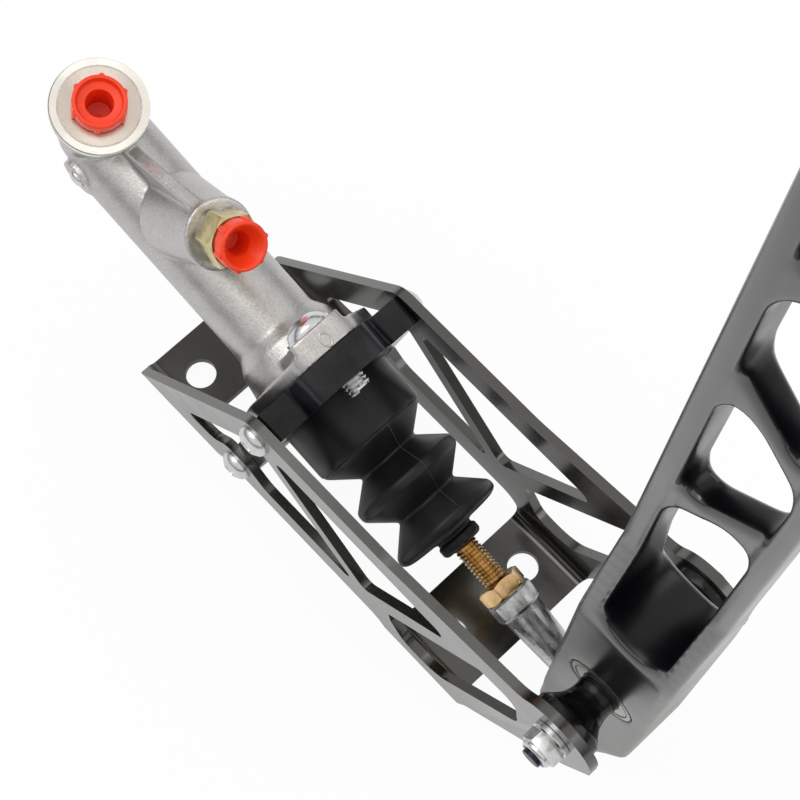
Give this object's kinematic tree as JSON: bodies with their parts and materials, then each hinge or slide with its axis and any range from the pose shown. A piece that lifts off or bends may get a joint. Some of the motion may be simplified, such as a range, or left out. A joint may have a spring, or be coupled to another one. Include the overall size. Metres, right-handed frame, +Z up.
{
  "type": "hydraulic handbrake",
  "caption": "Upright hydraulic handbrake: truss-cut lever on bearings in a bent sheet bracket, pushing a sloping master cylinder with bellows boot and capped ports.",
  "frame": {"origin": "on the bracket's floor face, in the middle of the four floor holes", "axes": "+X from the cylinder's far end towards the lever, +Z up along the lever, Y across the bracket"},
  "size_m": [0.2589, 0.0721, 0.5158],
  "materials": {
    "bracket": "satin black powder coat",
    "plate": "gloss black anodised",
    "lever": "bright black anodised aluminium",
    "casting": "fine-grained die casting",
    "zinc": "bright zinc plate",
    "gold_zinc": "yellow-passivated zinc plate",
    "cap_red": "moulded red-orange plastic",
    "rubber": "satin moulded rubber",
    "steel": "turned steel",
    "bronze": "bronze bearing race",
    "insert_blue": "blue nylon"
  },
  "bodies": {
    "frame": {"bracket": "bracket", "mount_plate": "plate", "mount_plate_screws": "zinc", "cylinder_body": "casting", "cylinder_bolts": "zinc", "side_plug": "steel", "outlet_cap": "cap_red", "inlet_washer": "zinc", "inlet_adapter": "gold_zinc", "inlet_cap": "cap_red", "return_spring": "steel", "stop_washer": "steel", "circlip": "steel", "boot": "rubber", "pivot_sleeve": "steel", "pivot_spacers": "plate", "pivot_washers": "zinc", "pivot_bolt": "zinc", "pivot_nut": "zinc", "pivot_nut_insert": "insert_blue"},
    "lever": {"lever": "lever", "hand_grip": "rubber", "grip_cap": "lever", "grip_screw": "zinc", "pivot_bearings": "steel", "rod_end_ball": "steel", "rod_end_spacers": "zinc", "rod_end_bolt": "zinc", "rod_end_nut": "zinc"},
    "push_link": {"pushrod": "gold_zinc", "jam_nut": "gold_zinc", "rod_end_body": "zinc", "rod_end_race": "bronze"},
    "piston": {"piston": "casting", "primary_cup": "rubber", "secondary_seal": "rubber"}
  },
  "joints": [
    {"name": "lever_pivot", "type": "hinge", "parent": "frame", "child": "lever", "pos_m": [0.10965, 0, 0.089], "axis": [0, 1, 0], "range_deg": [0, 18], "stiffness_Nm_per_rad": 2.5, "springref_deg": -28.65},
    {"name": "rod_end_pin", "type": "hinge", "parent": "lever", "child": "push_link", "pos_m": [0.10394, 0, 0.02034], "axis": [0, 1, 0], "range_deg": [-18.2, 0.2]},
    {"name": "piston_slide", "type": "slide", "parent": "frame", "child": "piston", "axis": [-0.9713, 0, 0.2377], "range_m": [0, 0.0218], "deforming": ["return_spring", "boot"]}
  ],
  "couplings": [
    {"joint": "rod_end_pin", "follows": "lever_pivot", "ratio": -1},
    {"joint": "piston_slide", "follows": "lever_pivot", "m_per_rad": 0.06862}
  ]
}
